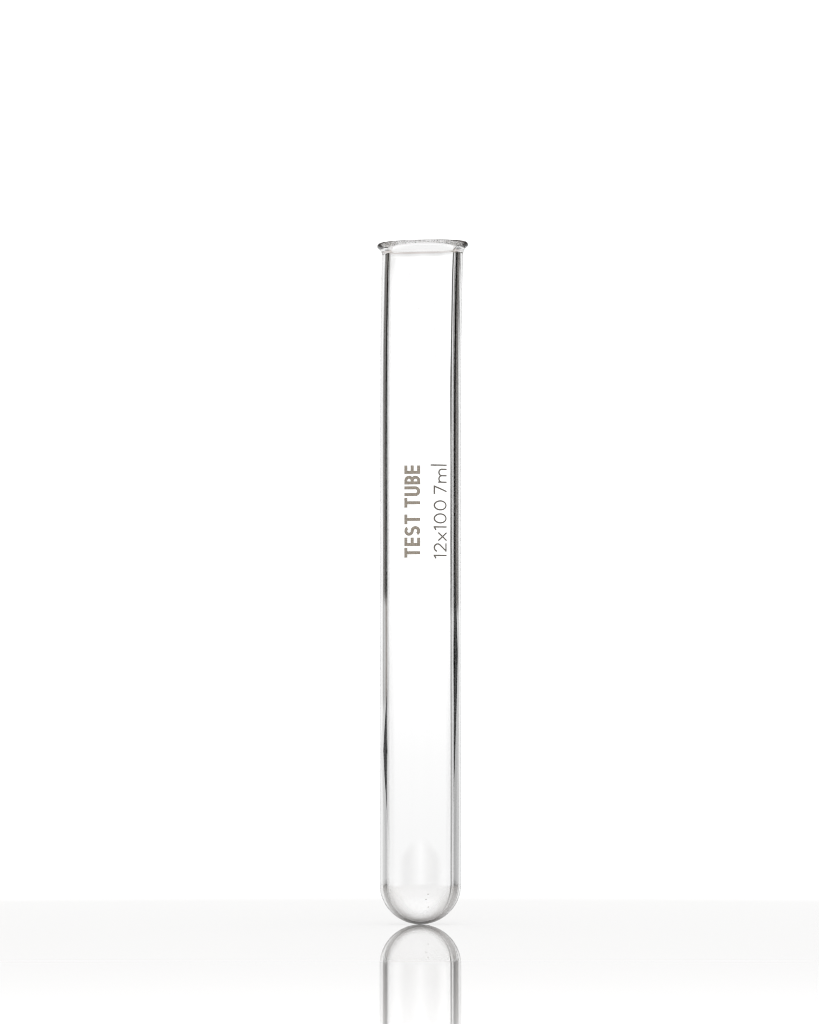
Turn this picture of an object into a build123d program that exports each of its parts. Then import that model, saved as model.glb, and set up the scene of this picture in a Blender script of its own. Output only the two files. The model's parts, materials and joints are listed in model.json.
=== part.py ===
from build123d import *
import math
import os

# A small laboratory test tube of clear borosilicate glass, 12 mm across and 100 mm long, with a flared and
# fire-polished rim, a straight wall and a round bottom. Its print is fired enamel on the outside of the wall.
# Frame: origin at the lowest point of the round bottom, +Z up the axis to the mouth, and the middle of the
# print's side faces -Y. All lengths are in millimetres and all angles in degrees.

# Glass body
tube_diameter = 12.0  # outside of the straight wall
wall = 1.05  # glass thickness of the straight wall
tube_length = 100.0  # lowest point of the bottom to the top of the rim
base_thickness = 0.6  # glass on the axis at the bottom, where the blown bottom is thinnest
rim_overhang = 0.7  # how far the flared rim stands out from the straight wall
rim_thickness = 0.9  # height of the rounded bead round the mouth
flare_radius = 1.2  # hollow curve that carries the wall out to the bead

# Enamel print
print_thickness = 0.04  # enamel standing on the glass
word_text = "TEST TUBE"
word_height = 2.35  # capital height
word_pen = 0.44  # stroke width
word_gap = 0.28  # between letters
word_start = 53.6  # height of the first letter's foot above the bottom
word_angle = -11.6  # round the wall from -Y towards +X, to the middle of the letters
legend_height = 2.14  # numeral height
legend_pen = 0.2
legend_gap = 0.4
legend_start = 53.5
legend_angle = 28.9
legend_break = 0.5  # extra room between the size and the capacity
space_width = 0.45  # a blank in a text, before its letter gaps

# Sizes that follow from the ones above
tube_radius = tube_diameter / 2
bore_radius = tube_radius - wall
bead_radius = rim_thickness / 2
bead_centre = tube_radius + rim_overhang - bead_radius
mouth_radius = bead_centre - bore_radius  # rounding of the mouth's inner edge


def flare_points():
    """Where the hollow flare leaves the straight wall, its middle, and where it meets the bead."""
    centre_x = tube_radius + flare_radius
    bead_z = tube_length - bead_radius
    reach = flare_radius + bead_radius
    centre_z = bead_z - math.sqrt(reach**2 - (centre_x - bead_centre) ** 2)
    meet = math.atan2(bead_z - centre_z, bead_centre - centre_x)
    middle = (math.pi + meet) / 2

    def on_flare(angle):
        return (centre_x + flare_radius * math.cos(angle), centre_z + flare_radius * math.sin(angle))

    return on_flare(math.pi), on_flare(middle), on_flare(meet)


def glass_tube():
    """The whole glass body: half its section, turned round the axis. The bottom is a half sphere outside and
    a half ellipse inside, so its glass thins towards the middle."""
    wall_top, flare_middle, bead_foot = flare_points()
    bead_side = (bead_centre + bead_radius, tube_length - bead_radius)
    bead_top = (bead_centre, tube_length)
    bore_top = (bore_radius, tube_length - mouth_radius)
    bore_foot = (bore_radius, tube_radius)
    inner_depth = tube_radius - base_thickness
    half = math.sqrt(0.5)
    mouth_middle = (bead_centre - mouth_radius * half, tube_length - mouth_radius * (1 - half))
    outer_middle = (tube_radius * half, tube_radius * (1 - half))
    outline = [
        ThreePointArc((0, 0), outer_middle, (tube_radius, tube_radius)),
        Line((tube_radius, tube_radius), wall_top),
        ThreePointArc(wall_top, flare_middle, bead_foot),
        ThreePointArc(bead_foot, bead_side, bead_top),
        ThreePointArc(bead_top, mouth_middle, bore_top),
        Line(bore_top, bore_foot),
        EllipticalCenterArc((0, tube_radius), bore_radius, inner_depth, start_angle=0, arc_size=-90),
        Line((0, base_thickness), (0, 0)),
    ]
    return revolve(Plane.XZ * make_face(outline), Axis.Z)


# Letters and numerals: strokes of one pen width in a flat x, y frame, with the foot of the stroke on y = 0 and
# the left edge on x = 0. Each function returns the strokes and the width that they take.


def stroke(pen, *curves):
    return trace(list(curves), pen)


def letter_t(height, pen):
    width = 0.6 * height
    bar = stroke(pen, Line((0, height - pen / 2), (width, height - pen / 2)))
    return bar + stroke(pen, Line((width / 2, 0), (width / 2, height))), width


def letter_e(height, pen):
    width = 0.52 * height
    letter = stroke(pen, Line((pen / 2, 0), (pen / 2, height)))
    for level in (pen / 2, height / 2, height - pen / 2):
        letter += stroke(pen, Line((0, level), (width, level)))
    return letter, width


def letter_s(height, pen):
    bend = (height - pen) / 4
    middle = bend + pen / 2
    upper = CenterArc((middle, height / 2 + bend), bend, 30, 240)
    lower = CenterArc((middle, height / 2 - bend), bend, 90, -240)
    return stroke(pen, upper, lower), 2 * middle


def letter_u(height, pen):
    width = 0.6 * height
    bend = (width - pen) / 2
    left, right = pen / 2, width - pen / 2
    foot = CenterArc((width / 2, pen / 2 + bend), bend, 180, 180)
    sides = [Line((x, height), (x, pen / 2 + bend)) for x in (left, right)]
    return stroke(pen, sides[0], foot, sides[1]), width


def letter_b(height, pen):
    bend = (height - pen) / 4
    turn = 0.24 * height
    letter = stroke(pen, Line((pen / 2, 0), (pen / 2, height)))
    for level in (height / 2 + bend, height / 2 - bend):
        bowl = CenterArc((turn, level), bend, 90, -180)
        ends = [Line((0, level + side), (turn, level + side)) for side in (bend, -bend)]
        letter += stroke(pen, ends[0], bowl, ends[1])
    return letter, turn + bend + pen / 2


def letter_x(height, pen):
    top = 0.66 * height
    width = 0.54 * height
    rise = stroke(pen, Line((0, 0), (width, top)))
    return rise + stroke(pen, Line((0, top), (width, 0))), width


def letter_m(height, pen):
    top = 0.66 * height
    bend = 0.22 * height
    shoulder = top - pen / 2 - bend
    letter = stroke(pen, Line((pen / 2, 0), (pen / 2, top)))
    for start in (pen / 2, pen / 2 + 2 * bend):
        arch = CenterArc((start + bend, shoulder), bend, 180, -180)
        letter += stroke(pen, arch, Line((start + 2 * bend, shoulder), (start + 2 * bend, 0)))
    return letter, pen + 4 * bend


def letter_l(height, pen):
    return stroke(pen, Line((pen / 2, 0), (pen / 2, 1.2 * height))), pen


def numeral_0(height, pen):
    half_width = 0.35 * height
    ring = Ellipse(half_width, height / 2) - Ellipse(half_width - pen, height / 2 - pen)
    return Pos(half_width, height / 2) * ring, 2 * half_width


def numeral_1(height, pen):
    flag = 0.2 * height
    stem = stroke(pen, Line((flag, 0), (flag, height)))
    tip = (0, height - 0.8 * flag)
    return stem + stroke(pen, Line(tip, (flag, height - pen / 2))), flag + pen / 2


def numeral_2(height, pen):
    bend = 0.25 * height
    centre = (bend + pen / 2, height - pen / 2 - bend)
    leave = math.radians(-40)
    corner = (centre[0] + bend * math.cos(leave), centre[1] + bend * math.sin(leave))
    foot = (corner[0] + (corner[1] - pen / 2) * math.tan(leave), pen / 2)
    width = 2 * bend + pen
    numeral = stroke(pen, CenterArc(centre, bend, 165, -205), Line(corner, foot))
    return numeral + stroke(pen, Line((foot[0] - pen / 2, pen / 2), (width, pen / 2))), width


def numeral_7(height, pen):
    width = 0.58 * height
    slant = stroke(pen, Line((width - pen / 2, height - pen / 2), (0.3 * width, 0)))
    return slant + stroke(pen, Line((0, height - pen / 2), (width, height - pen / 2))), width


shapes = {
    "T": letter_t,
    "E": letter_e,
    "S": letter_s,
    "U": letter_u,
    "B": letter_b,
    "x": letter_x,
    "m": letter_m,
    "l": letter_l,
    "0": numeral_0,
    "1": numeral_1,
    "2": numeral_2,
    "7": numeral_7,
}


def legend(text, height, pen, gap, start, angle):
    """Enamel text that reads up the wall: one curved plate a letter, and the height where the text ends."""
    facing = math.radians(angle)
    outward = Vector(math.sin(facing), -math.cos(facing), 0)
    skin = Cylinder(tube_radius + print_thickness, tube_length, align=(Align.CENTER, Align.CENTER, Align.MIN))
    skin -= Cylinder(tube_radius, tube_length, align=(Align.CENTER, Align.CENTER, Align.MIN))
    plates = []
    reach = start
    for character in text:
        if character == " ":
            reach += space_width + gap
            continue
        outline, width = shapes[character](height, pen)
        page = Plane(origin=outward * tube_radius + Vector(0, 0, reach), x_dir=(0, 0, 1), z_dir=outward)
        block = extrude(page * Pos(0, -height / 2) * outline, wall / 2, both=True)
        plates += (block & skin).solids()
        reach += width + gap
    return plates, reach - gap


word, word_end = legend(word_text, word_height, word_pen, word_gap, word_start, word_angle)
size, size_end = legend("12x100", legend_height, legend_pen, legend_gap, legend_start, legend_angle)
capacity_start = size_end + legend_gap + legend_break
capacity, capacity_end = legend(
    "7ml", legend_height, legend_pen, legend_gap, capacity_start, legend_angle
)

parts = {
    "glass_tube": glass_tube().solids(),
    "enamel_word": word,
    "enamel_size": size,
    "enamel_capacity": capacity,
}

os.makedirs("parts", exist_ok=True)
for name, solids in parts.items():
    export_step(Compound(solids), f"parts/{name}.step")
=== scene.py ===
import json
import math

import bpy
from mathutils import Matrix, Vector


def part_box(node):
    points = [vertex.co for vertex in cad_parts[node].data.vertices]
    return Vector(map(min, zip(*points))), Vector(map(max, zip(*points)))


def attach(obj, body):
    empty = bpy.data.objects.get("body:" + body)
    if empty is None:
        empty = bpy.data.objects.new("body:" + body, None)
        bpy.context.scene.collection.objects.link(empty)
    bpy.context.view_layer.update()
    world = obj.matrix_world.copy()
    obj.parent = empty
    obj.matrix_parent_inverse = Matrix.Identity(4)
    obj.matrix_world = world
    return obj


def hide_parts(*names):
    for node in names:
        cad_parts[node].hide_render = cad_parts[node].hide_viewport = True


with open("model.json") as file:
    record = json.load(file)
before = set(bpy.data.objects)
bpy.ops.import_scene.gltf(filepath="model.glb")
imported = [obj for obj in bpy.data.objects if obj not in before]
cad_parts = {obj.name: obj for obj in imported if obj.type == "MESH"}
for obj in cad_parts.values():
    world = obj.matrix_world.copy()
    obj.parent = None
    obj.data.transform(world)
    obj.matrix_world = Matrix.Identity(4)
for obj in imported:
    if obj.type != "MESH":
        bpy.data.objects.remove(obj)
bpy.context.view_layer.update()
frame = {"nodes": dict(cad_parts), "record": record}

bl_info = {
    "name": "Test tube",
    "version": (1, 0, 0),
    "blender": (4, 5, 0),
    "location": "View3D > Sidebar > Test tube",
    "description": "Builds a clear glass test tube with its fired enamel print, and a pale studio round it",
    "category": "Object",
}

MM = 0.001

# Points along each stretch of the glass section
BOTTOM_POINTS = 48
WALL_POINTS = 92
FLARE_POINTS = 10
BEAD_POINTS = 18
MOUTH_POINTS = 14

# Where a colour Mix node takes its two colours and gives its result
MIX_FIRST, MIX_SECOND, MIX_RESULT = 6, 7, 2

GLASS_IOR = 1.473
# The glass needs many; with the default number the rim goes black
LIGHT_BOUNCES = 48


def mount_size(name, key):
    """A dimension of one of the frame's mounts, in metres."""
    for mount in frame["record"]["mounts"]:
        if mount["name"] == name:
            return mount["dims"][key] * MM
    raise RuntimeError(f"the frame has no mount named {name}")


tube_low, tube_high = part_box("glass_tube")
TUBE_TOP = tube_high.z
TUBE_RADIUS = mount_size("outer_wall", "r_mm")
BORE_RADIUS = mount_size("bore", "r_mm")
RIM_RADIUS = 0.5 * (tube_high.x - tube_low.x)


class GlassSizes(bpy.types.PropertyGroup):
    """Sizes of the glass body."""

    outer_radius: bpy.props.FloatProperty(
        name="Outer radius", description="Outside radius of the straight wall",
        default=TUBE_RADIUS, min=0.0, unit="LENGTH", precision=5,
    )
    bore_radius: bpy.props.FloatProperty(
        name="Bore radius", description="Inside radius of the straight wall",
        default=BORE_RADIUS, min=0.0, unit="LENGTH", precision=5,
    )
    rim_radius: bpy.props.FloatProperty(
        name="Rim radius", description="Outside radius of the flared rim",
        default=RIM_RADIUS, min=0.0, unit="LENGTH", precision=5,
    )
    top: bpy.props.FloatProperty(
        name="Top", description="Height of the rim's top above the bottom",
        default=TUBE_TOP, min=0.0, unit="LENGTH", precision=5,
    )
    base_thickness: bpy.props.FloatProperty(
        name="Base thickness", description="Glass on the axis at the bottom, where it is thinnest",
        default=0.6 * MM, min=0.0, unit="LENGTH", precision=5,
    )
    bead_height: bpy.props.FloatProperty(
        name="Bead height", description="Height of the rounded bead round the mouth",
        default=0.9 * MM, min=0.0, unit="LENGTH", precision=5,
    )
    flare_radius: bpy.props.FloatProperty(
        name="Flare radius", description="Hollow curve from the wall out to the bead",
        default=1.2 * MM, min=0.0, unit="LENGTH", precision=5,
    )
    lean: bpy.props.FloatProperty(
        name="Lean", description="How far the mouth stands to the right of the axis",
        default=0.32 * MM, unit="LENGTH", precision=5,
    )
    lean_length: bpy.props.FloatProperty(
        name="Lean length", description="Length of tube that bends over to the lean",
        default=25 * MM, min=0.0, unit="LENGTH", precision=5,
    )
    rim_tilt: bpy.props.FloatProperty(
        name="Rim tilt", description="How far the rim is out of square, up on the right",
        default=math.radians(1.2), subtype="ANGLE",
    )
    segments: bpy.props.IntProperty(
        name="Segments", description="Faces round the tube", default=256, min=24,
    )


class PrintColours(bpy.types.PropertyGroup):
    """Colours of the enamel print."""

    bold: bpy.props.FloatVectorProperty(
        name="Bold print", description="Colour of the word in thick strokes",
        default=(0.41, 0.365, 0.31), subtype="COLOR", min=0.0, max=1.0,
    )
    fine: bpy.props.FloatVectorProperty(
        name="Fine print", description="Colour of the size and the capacity in thin strokes",
        default=(0.20, 0.19, 0.172), subtype="COLOR", min=0.0, max=1.0,
    )


class StudioLook(bpy.types.PropertyGroup):
    """Where the camera stands."""

    camera_distance: bpy.props.FloatProperty(
        name="Camera distance", description="From the lens to the tube's axis",
        default=0.93, min=0.1, unit="LENGTH",
    )
    camera_height: bpy.props.FloatProperty(
        name="Camera height", description="Height of the lens above the floor",
        default=0.036, unit="LENGTH",
    )


def clear_selection():
    """Leaves edit mode and deselects everything."""
    if bpy.context.object and bpy.context.object.mode != "OBJECT":
        bpy.ops.object.mode_set(mode="OBJECT")
    bpy.ops.object.select_all(action="DESELECT")


def arc_points(centre, radius, start, end, steps, depth=None):
    """Points on an arc in the section plane, from angle start to angle end, without the first.
    With a depth it is part of an ellipse that reaches depth along the axis."""
    rise = radius if depth is None else depth
    points = []
    for i in range(1, steps + 1):
        angle = start + (end - start) * i / steps
        points.append((centre[0] + radius * math.cos(angle), centre[1] + rise * math.sin(angle)))
    return points


def run_points(start, end, steps):
    """Evenly spaced points on a straight stretch, without the first."""
    return [
        (start[0] + (end[0] - start[0]) * i / steps, start[1] + (end[1] - start[1]) * i / steps)
        for i in range(1, steps + 1)
    ]


def glass_section(size):
    """Half the tube's section as (radius, height): up the outside, over the rim and down the inside."""
    outer, bore = size.outer_radius, size.bore_radius
    bead = size.bead_height / 2
    bead_x = size.rim_radius - bead
    bead_z = size.top - bead
    flare_x = outer + size.flare_radius
    flare_z = bead_z - math.sqrt((size.flare_radius + bead) ** 2 - (flare_x - bead_x) ** 2)
    meet = math.atan2(bead_z - flare_z, bead_x - flare_x)
    mouth = bead_x - bore
    points = [(0.0, 0.0)]
    points += arc_points((0.0, outer), outer, -math.pi / 2, 0.0, BOTTOM_POINTS)
    points += run_points(points[-1], (outer, flare_z), WALL_POINTS)
    points += arc_points((flare_x, flare_z), size.flare_radius, math.pi, meet, FLARE_POINTS)
    points += arc_points((bead_x, bead_z), bead, meet - math.pi, math.pi / 2, BEAD_POINTS)
    points += arc_points((bead_x, size.top - mouth), mouth, math.pi / 2, math.pi, MOUTH_POINTS)
    points += run_points(points[-1], (bore, outer), WALL_POINTS)
    depth = outer - size.base_thickness
    points += arc_points((0.0, outer), bore, 0.0, -math.pi / 2, BOTTOM_POINTS, depth)
    return points


def spin_section(name, points, segments):
    """Draws a vertex out along the section, spins the line into a closed body and returns the object."""
    clear_selection()
    bpy.ops.mesh.primitive_plane_add(size=MM, location=(0, 0, 0))
    piece = bpy.context.object
    piece.name = piece.data.name = name
    bpy.ops.object.mode_set(mode="EDIT")
    bpy.ops.mesh.select_all(action="SELECT")
    bpy.ops.mesh.merge(type="CENTER")
    reached = (0.0, 0.0)
    for point in points[1:]:
        step = (point[0] - reached[0], 0.0, point[1] - reached[1])
        bpy.ops.mesh.extrude_vertices_move(TRANSFORM_OT_translate={"value": step})
        reached = point
    bpy.ops.mesh.select_all(action="SELECT")
    bpy.ops.mesh.spin(steps=segments, angle=2 * math.pi, center=(0, 0, 0), axis=(0, 0, 1))
    bpy.ops.mesh.select_all(action="SELECT")
    bpy.ops.mesh.remove_doubles(threshold=0.001 * MM)
    bpy.ops.mesh.normals_make_consistent(inside=False)
    bpy.ops.object.mode_set(mode="OBJECT")
    bpy.ops.object.shade_smooth()
    return piece


def new_material(name):
    """A material with one Principled shader, and that shader."""
    material = bpy.data.materials.new(name)
    material.use_nodes = True
    return material, material.node_tree.nodes["Principled BSDF"]


def maths(tree, operation, *values):
    """A Math node on numbers or outputs, and its output."""
    node = tree.nodes.new("ShaderNodeMath")
    node.operation = operation
    for socket, value in zip(node.inputs, values):
        if isinstance(value, (int, float)):
            socket.default_value = value
        else:
            tree.links.new(value, socket)
    return node.outputs[0]


def ramp(tree, value, low, high, from_colour, to_colour):
    """A smooth change from one colour to another as value goes from low to high."""
    step = tree.nodes.new("ShaderNodeMapRange")
    step.interpolation_type = "SMOOTHSTEP"
    step.inputs["From Min"].default_value = low
    step.inputs["From Max"].default_value = high
    tree.links.new(value, step.inputs["Value"])
    mix = tree.nodes.new("ShaderNodeMix")
    mix.data_type = "RGBA"
    tree.links.new(step.outputs[0], mix.inputs["Factor"])
    for index, colour in ((MIX_FIRST, from_colour), (MIX_SECOND, to_colour)):
        socket = mix.inputs[index]
        if isinstance(colour, tuple):
            socket.default_value = (*colour, 1)
        else:
            tree.links.new(colour, socket)
    return mix.outputs[MIX_RESULT]


def noise(tree, place, scale, detail):
    """Cloudy noise, with its own scale along each axis, in blobs per metre."""
    stretch = tree.nodes.new("ShaderNodeVectorMath")
    stretch.operation = "MULTIPLY"
    stretch.inputs[1].default_value = scale
    tree.links.new(place, stretch.inputs[0])
    cloud = tree.nodes.new("ShaderNodeTexNoise")
    cloud.inputs["Scale"].default_value = 1.0
    cloud.inputs["Detail"].default_value = detail
    tree.links.new(stretch.outputs[0], cloud.inputs["Vector"])
    return cloud.outputs[0]


def relief(tree, shader, height, depth, strength):
    """Raises the surface by depth times height in the shading."""
    bump = tree.nodes.new("ShaderNodeBump")
    bump.inputs["Strength"].default_value = strength
    bump.inputs["Distance"].default_value = depth
    tree.links.new(height, bump.inputs["Height"])
    tree.links.new(bump.outputs[0], shader.inputs["Normal"])


# Specks in the glass, as x and z in millimetres on the front half
SPECKS = [(1.10, 4.60), (0.81, 3.85), (1.12, 2.70), (-0.22, 89.9)]
SPECK_CORE, SPECK_EDGE = 0.05 * MM, 0.14 * MM
SPECK_COLOUR = (0.35, 0.33, 0.30)
# Drawn lines: blobs per metre, close together round the tube and long down it, and their height
DRAWN_LINES = (700, 700, 40)
DRAWN_DEPTH = 0.02 * MM
# Print mottle: blobs per metre, how its colour varies, and its height
MOTTLE = (6000, 6000, 6000)
MOTTLE_THIN, MOTTLE_FULL = 1.18, 0.84
MOTTLE_DEPTH = 0.01 * MM


def borosilicate(size):
    """Clear drawn glass: faint lines along the tube and a few specks."""
    material, shader = new_material("borosilicate_glass")
    tree = material.node_tree
    place = tree.nodes.new("ShaderNodeTexCoord").outputs["Object"]
    clear = (1.0, 1.0, 1.0)
    for x, z in SPECKS:
        height = min(z * MM, size.outer_radius)
        girth = math.sqrt(size.outer_radius**2 - (size.outer_radius - height) ** 2)
        away = tree.nodes.new("ShaderNodeVectorMath")
        away.operation = "DISTANCE"
        away.inputs[1].default_value = (x * MM, -math.sqrt(girth**2 - (x * MM) ** 2), z * MM)
        tree.links.new(place, away.inputs[0])
        clear = ramp(tree, away.outputs["Value"], SPECK_CORE, SPECK_EDGE, SPECK_COLOUR, clear)
    tree.links.new(clear, shader.inputs["Base Color"])
    relief(tree, shader, noise(tree, place, DRAWN_LINES, 2.0), DRAWN_DEPTH, 0.25)
    shader.inputs["Roughness"].default_value = 0.0
    shader.inputs["IOR"].default_value = GLASS_IOR
    shader.inputs["Transmission Weight"].default_value = 1.0
    return material


def enamel(name, colour):
    """Fired print enamel, with the mottle that the print screen leaves."""
    material, shader = new_material(name)
    tree = material.node_tree
    place = tree.nodes.new("ShaderNodeTexCoord").outputs["Object"]
    grain = noise(tree, place, MOTTLE, 3.0)
    thin = tuple(MOTTLE_THIN * part for part in colour)
    full = tuple(MOTTLE_FULL * part for part in colour)
    tree.links.new(ramp(tree, grain, 0.35, 0.65, thin, full), shader.inputs["Base Color"])
    tree.links.new(maths(tree, "MULTIPLY_ADD", grain, 0.3, 0.35), shader.inputs["Roughness"])
    relief(tree, shader, grain, MOTTLE_DEPTH, 0.5)
    return material


def lean_and_tilt(piece, size):
    """Bends the top of the tube a little to the right and tips its rim, as hand flaring leaves it."""
    clear_selection()
    bpy.context.view_layer.objects.active = piece
    piece.select_set(True)
    bpy.ops.object.mode_set(mode="EDIT")
    bpy.ops.mesh.select_mode(type="VERT")
    bpy.ops.mesh.select_all(action="DESELECT")
    bpy.ops.object.mode_set(mode="OBJECT")
    for vertex in piece.data.vertices:
        vertex.select = vertex.co.z > size.top - size.bead_height
    bpy.ops.object.mode_set(mode="EDIT")
    bpy.ops.transform.translate(
        value=(size.lean, 0, 0), use_proportional_edit=True, proportional_edit_falloff="SHARP",
        proportional_size=size.lean_length,
    )
    bpy.ops.transform.rotate(
        value=size.rim_tilt, orient_axis="Y", center_override=(size.lean, 0, size.top),
        use_proportional_edit=True, proportional_edit_falloff="SMOOTH",
        proportional_size=0.5 * size.rim_radius,
    )
    bpy.ops.object.mode_set(mode="OBJECT")


class BuildGlass(bpy.types.Operator):
    """Spin the glass body and give it its glass"""

    bl_idname = "test_tube.glass"
    bl_label = "Glass body"

    def execute(self, context):
        size = context.scene.tube_glass
        body = spin_section("glass_body", glass_section(size), size.segments)
        lean_and_tilt(body, size)
        body.data.materials.append(borosilicate(size))
        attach(body, "root")
        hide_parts("glass_tube")
        return {"FINISHED"}


class FinishPrint(bpy.types.Operator):
    """Give the enamel print its finish"""

    bl_idname = "test_tube.print"
    bl_label = "Enamel print"

    def execute(self, context):
        colours = context.scene.tube_print
        bold = enamel("print_enamel_bold", colours.bold)
        fine = enamel("print_enamel_fine", colours.fine)
        for node, material in (("enamel_word", bold), ("enamel_size", fine), ("enamel_capacity", fine)):
            slots = frame["nodes"][node].data.materials
            slots.clear()
            slots.append(material)
        return {"FINISHED"}


# Greys under this brightness are warmed by this share
DARK_BELOW = 0.3
WARMTH = 0.08
# Degrees that a colour ramp spans
SWEEP = 180.0


def tone(value):
    """A grey of that brightness, warm where it is dark."""
    warmth = WARMTH if value < DARK_BELOW else 0.0
    return (value * (1 + warmth), value, value * (1 - warmth))


def colour_steps(tree, degrees, start, steps):
    """A colour ramp over the sweep from start, from a list of (degrees, brightness)."""
    node = tree.nodes.new("ShaderNodeValToRGB")
    tree.links.new(maths(tree, "DIVIDE", maths(tree, "SUBTRACT", degrees, start), SWEEP), node.inputs[0])
    elements = node.color_ramp.elements
    while len(elements) > 1:
        elements.remove(elements[-1])
    for i, (place, brightness) in enumerate(steps):
        position = (place - start) / SWEEP
        element = elements[0] if i == 0 else elements.new(position)
        element.position = position
        element.color = (*tone(brightness), 1)
    return node.outputs[0]


# Brightness of the surround, against its white, by degrees from straight behind the tube. White stands
# behind, on both sides and in front, with black between them, and a thin black edge hangs a little way in on
# the right. The glass refracts these, and they make the dark bands down its sides.
ABOVE_LEFT = [
    (0, 1), (22, 1), (24.5, 0.8), (25.5, 0.4), (30, 0.32), (31.5, 0.1), (37, 0.065), (39, 0.12),
    (44, 0.1), (45.5, 0), (69.5, 0), (71, 1), (110, 1), (122, 0.15), (135, 0.05), (150, 0.2), (180, 1),
]
MIDDLE_LEFT = [
    (0, 1), (21.5, 1), (25, 0.52), (30, 0.46), (32.5, 0.3), (37, 0.3), (39.5, 0.62), (43, 0.6), (45.5, 0.25),
    (52, 0.2), (69, 0.3), (71, 0.9),
]
BELOW_LEFT = [(0, 1), (22, 1), (25, 0.74), (30, 0.68), (38, 0.62), (45, 0.55), (69, 0.55), (71, 0.9)]
ABOVE_RIGHT = [
    (0, 1), (16.8, 1), (17.4, 0.015), (21.0, 0.015), (21.6, 0.8), (25.5, 0.62), (27, 0.075), (33, 0.065),
    (34, 0.14), (39, 0.13), (40.5, 0.065), (43, 0.065), (44, 0), (69.5, 0), (71, 1), (110, 1), (122, 0.15),
    (135, 0.05), (150, 0.2), (180, 1),
]
BELOW_RIGHT = [
    (0, 1), (16.8, 1), (17.6, 0.3), (21.2, 0.3), (22, 0.9), (25.5, 0.74), (27.5, 0.52), (38, 0.5), (45, 0.42),
    (69, 0.5), (71, 0.9),
]
# How bright that white is, by elevation in degrees
WHITE_LEVEL = [(-90, 0.96), (-1.0, 0.96), (1.2, 1.2), (2.2, 1.15), (4.5, 1.15), (9, 0.95), (20, 0.8)]
# A black card fills from its inner edge out to the end of the dark gap; at its tips it reaches in this far
GAP_END = 69.5
CARD_TIP = 52.0
BLACK = (0.004, 0.004, 0.004)
# Half the degrees over which a card's edge and a level's edge soften
CARD_BLUR = 0.8
LEVEL_BLUR = 0.1
# The tinted room over the white, by side, and the elevations between which each part of it comes in
WALL_LEFT, WALL_RIGHT = (0.12, 0.118, 0.08), (0.38, 0.30, 0.24)
CEILING_LEFT, CEILING_RIGHT = (0.24, 0.235, 0.17), (0.66, 0.61, 0.59)
OVERHEAD = (0.95, 0.95, 0.95)
WALLS_START, CEILING_START, OVERHEAD_START = (4.2, 6.0), (16.0, 24.0), (40.0, 46.0)
# What the camera sees past the tube, in place of all that
BACKDROP_WHITE = (1.25, 1.25, 1.25)


def studio_surround():
    """White backdrops on the four sides with dark gaps between them, paler under the horizon, and a tinted
    room over them that is white overhead. The camera itself sees plain white."""
    world = bpy.data.worlds.new("studio")
    bpy.context.scene.world = world
    world.use_nodes = True
    tree = world.node_tree
    background = tree.nodes["Background"]
    direction = tree.nodes.new("ShaderNodeTexCoord").outputs["Generated"]
    split = tree.nodes.new("ShaderNodeSeparateXYZ")
    tree.links.new(direction, split.inputs[0])
    x, y, z = split.outputs
    off_axis = maths(tree, "DEGREES", maths(tree, "ARCTAN2", maths(tree, "ABSOLUTE", x), y))
    rise = maths(tree, "DEGREES", maths(tree, "ARCSINE", z))

    def levels(steps_above, steps_middle, steps_below, above_from, middle_from):
        """One half of the surround in three levels. The upper two start at the given elevations."""
        below, middle, above = (
            colour_steps(tree, off_axis, 0, steps) for steps in (steps_below, steps_middle, steps_above)
        )
        lower = ramp(tree, rise, middle_from - LEVEL_BLUR, middle_from + LEVEL_BLUR, below, middle)
        return ramp(tree, rise, above_from - LEVEL_BLUR, above_from + LEVEL_BLUR, lower, above)

    def black_card(colour, low, middle, high, widest):
        """Adds a black card that reaches in from the side to widest degrees at its middle height."""
        above = maths(tree, "DIVIDE", maths(tree, "SUBTRACT", rise, middle), high - middle)
        below = maths(tree, "DIVIDE", maths(tree, "SUBTRACT", middle, rise), middle - low)
        taper = maths(tree, "MAXIMUM", above, below)
        inner = maths(tree, "MULTIPLY_ADD", taper, CARD_TIP - widest, widest)
        inside = maths(tree, "SUBTRACT", off_axis, inner)
        shape = maths(tree, "MINIMUM", inside, maths(tree, "SUBTRACT", GAP_END, off_axis))
        return ramp(tree, shape, -CARD_BLUR, CARD_BLUR, colour, BLACK)

    left = levels(ABOVE_LEFT, MIDDLE_LEFT, BELOW_LEFT, above_from=0.72, middle_from=-0.25)
    left = black_card(left, low=-1.2, middle=-0.65, high=-0.15, widest=30.0)
    right = levels(ABOVE_RIGHT, BELOW_RIGHT, BELOW_RIGHT, above_from=0.6, middle_from=-0.2)
    right = black_card(right, low=-0.95, middle=0.2, high=1.2, widest=26.0)
    surround = ramp(tree, x, -0.001, 0.001, left, right)
    lit = tree.nodes.new("ShaderNodeMix")
    lit.data_type = "RGBA"
    lit.blend_type = "MULTIPLY"
    lit.inputs["Factor"].default_value = 1.0
    tree.links.new(surround, lit.inputs[MIX_FIRST])
    tree.links.new(colour_steps(tree, rise, -90, WHITE_LEVEL), lit.inputs[MIX_SECOND])
    backdrops = lit.outputs[MIX_RESULT]
    side_walls = ramp(tree, x, -0.1, 0.1, WALL_LEFT, WALL_RIGHT)
    upper = ramp(tree, off_axis, 45.0, 60.0, backdrops, side_walls)
    room = ramp(tree, rise, *WALLS_START, backdrops, upper)
    ceiling = ramp(tree, x, -0.7, -0.35, CEILING_LEFT, CEILING_RIGHT)
    room = ramp(tree, rise, *CEILING_START, room, ceiling)
    room = ramp(tree, rise, *OVERHEAD_START, room, OVERHEAD)
    seen = tree.nodes.new("ShaderNodeLightPath").outputs["Is Camera Ray"]
    shown = ramp(tree, seen, 0.0, 1.0, room, BACKDROP_WHITE)
    tree.links.new(shown, background.inputs["Color"])


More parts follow.
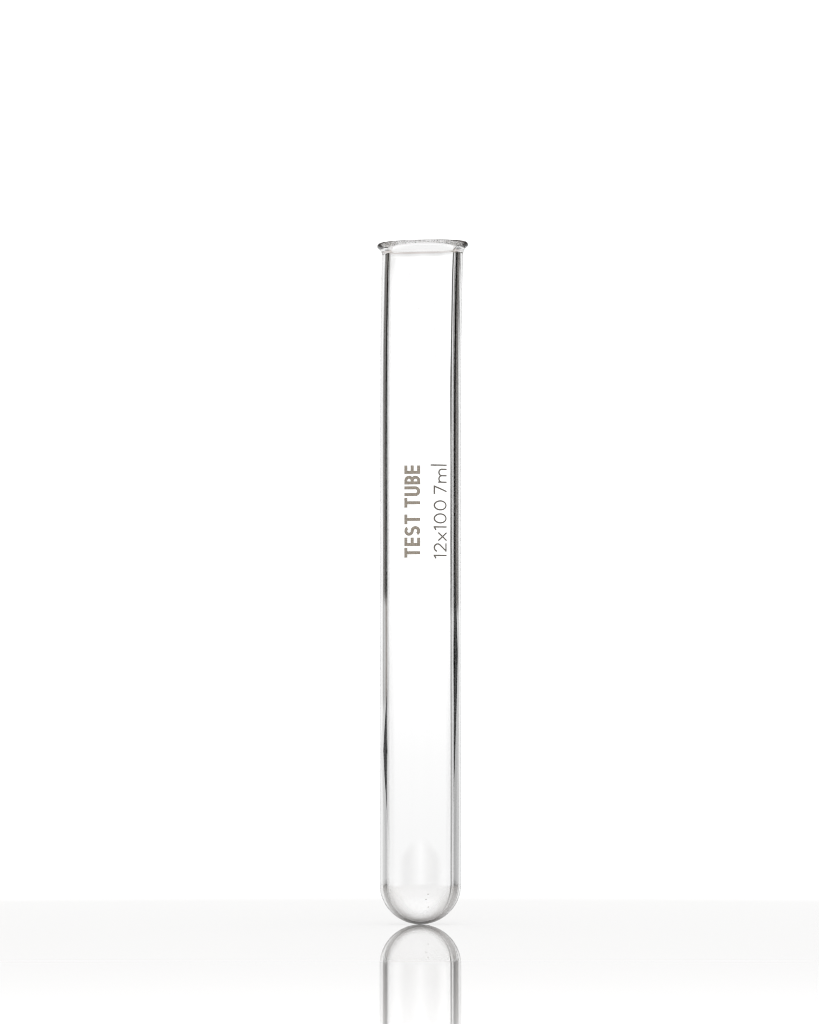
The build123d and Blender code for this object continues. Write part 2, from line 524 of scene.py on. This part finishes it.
def studio_floor():
    """A pale polished floor that lies mostly in front of the tube and fades into the white at its edge."""
    reach = 0.34
    fade = 0.07
    middle = Vector((0.0, -0.17, 0.0))
    clear_selection()
    bpy.ops.mesh.primitive_plane_add(size=2 * reach, location=middle)
    bpy.ops.object.transform_apply(location=True)
    floor = bpy.context.object
    floor.name = floor.data.name = "floor"
    material, shader = new_material("pale_floor")
    tree = material.node_tree
    shader.inputs["Base Color"].default_value = (0.64, 0.64, 0.64, 1)
    shader.inputs["IOR"].default_value = 1.09
    shader.inputs["Roughness"].default_value = 0.02
    place = tree.nodes.new("ShaderNodeTexCoord").outputs["Object"]
    away = tree.nodes.new("ShaderNodeVectorMath")
    away.operation = "DISTANCE"
    away.inputs[1].default_value = middle
    tree.links.new(place, away.inputs[0])
    inside = maths(tree, "MULTIPLY_ADD", away.outputs["Value"], -1 / fade, reach / fade)
    solid = maths(tree, "SMOOTH_MIN", 1.0, inside, 0.2)
    tree.links.new(solid, shader.inputs["Alpha"])
    floor.data.materials.append(material)


def soft_light(name, place, aim, size, power):
    """A soft light that lights the floor and the print but isn't mirrored or seen in the glass."""
    lamp = bpy.data.lights.new(name, "AREA")
    lamp.shape = "DISK"
    lamp.size = size
    lamp.energy = power
    holder = bpy.data.objects.new(name, lamp)
    bpy.context.scene.collection.objects.link(holder)
    holder.location = place
    holder.rotation_euler = (Vector(aim) - Vector(place)).to_track_quat("-Z", "Y").to_euler()
    holder.visible_camera = False
    holder.visible_glossy = False
    holder.visible_transmission = False


def camera(look):
    """A long lens, a little below the tube's middle, that looks slightly up."""
    lens = bpy.data.cameras.new("camera")
    holder = bpy.data.objects.new("camera", lens)
    bpy.context.scene.collection.objects.link(holder)
    view_height = 0.1502
    aside = -0.0016
    aim = Vector((aside, 0.0, 0.0604))
    holder.location = Vector((aside, -look.camera_distance, look.camera_height))
    holder.rotation_euler = (aim - holder.location).to_track_quat("-Z", "Y").to_euler()
    lens.sensor_width = 36.0
    lens.lens = lens.sensor_width / 2 / (view_height / 2 / (aim - holder.location).length)
    lens.clip_start = 0.01
    lens.clip_end = 20.0
    bpy.context.scene.camera = holder


class BuildStudio(bpy.types.Operator):
    """Put up the surround, the floor, the soft lights and the camera"""

    bl_idname = "test_tube.studio"
    bl_label = "Studio"

    def execute(self, context):
        studio_surround()
        studio_floor()
        soft_light("top_light", place=(0.0, -0.2, 0.6), aim=(0, 0, 0.03), size=0.5, power=0.3)
        soft_light("front_light", place=(0.0, -0.40, 0.2), aim=(0, -0.39, 0.0), size=0.2, power=0.65)
        camera(context.scene.tube_studio)
        context.scene.view_settings.view_transform = "Standard"
        for kind in ("max_bounces", "glossy_bounces", "transmission_bounces"):
            setattr(context.scene.cycles, kind, LIGHT_BOUNCES)
        context.scene.cycles.filter_width = 1.0
        return {"FINISHED"}


class TubePanel(bpy.types.Panel):
    """Lists the operators that make the glass, the print and the studio"""

    bl_idname = "VIEW3D_PT_test_tube"
    bl_label = "Test tube"
    bl_space_type = "VIEW_3D"
    bl_region_type = "UI"
    bl_category = "Test tube"

    def draw(self, context):
        layout = self.layout
        for operator in (BuildGlass, FinishPrint, BuildStudio):
            layout.operator(operator.bl_idname)


CLASSES = (GlassSizes, PrintColours, StudioLook, BuildGlass, FinishPrint, BuildStudio, TubePanel)


def register():
    for item in CLASSES:
        bpy.utils.register_class(item)
    bpy.types.Scene.tube_glass = bpy.props.PointerProperty(type=GlassSizes)
    bpy.types.Scene.tube_print = bpy.props.PointerProperty(type=PrintColours)
    bpy.types.Scene.tube_studio = bpy.props.PointerProperty(type=StudioLook)


def unregister():
    del bpy.types.Scene.tube_studio
    del bpy.types.Scene.tube_print
    del bpy.types.Scene.tube_glass
    for item in reversed(CLASSES):
        bpy.utils.unregister_class(item)


def main():
    register()
    bpy.ops.test_tube.glass()
    bpy.ops.test_tube.print()
    bpy.ops.test_tube.studio()


if __name__ == "__main__":
    main()
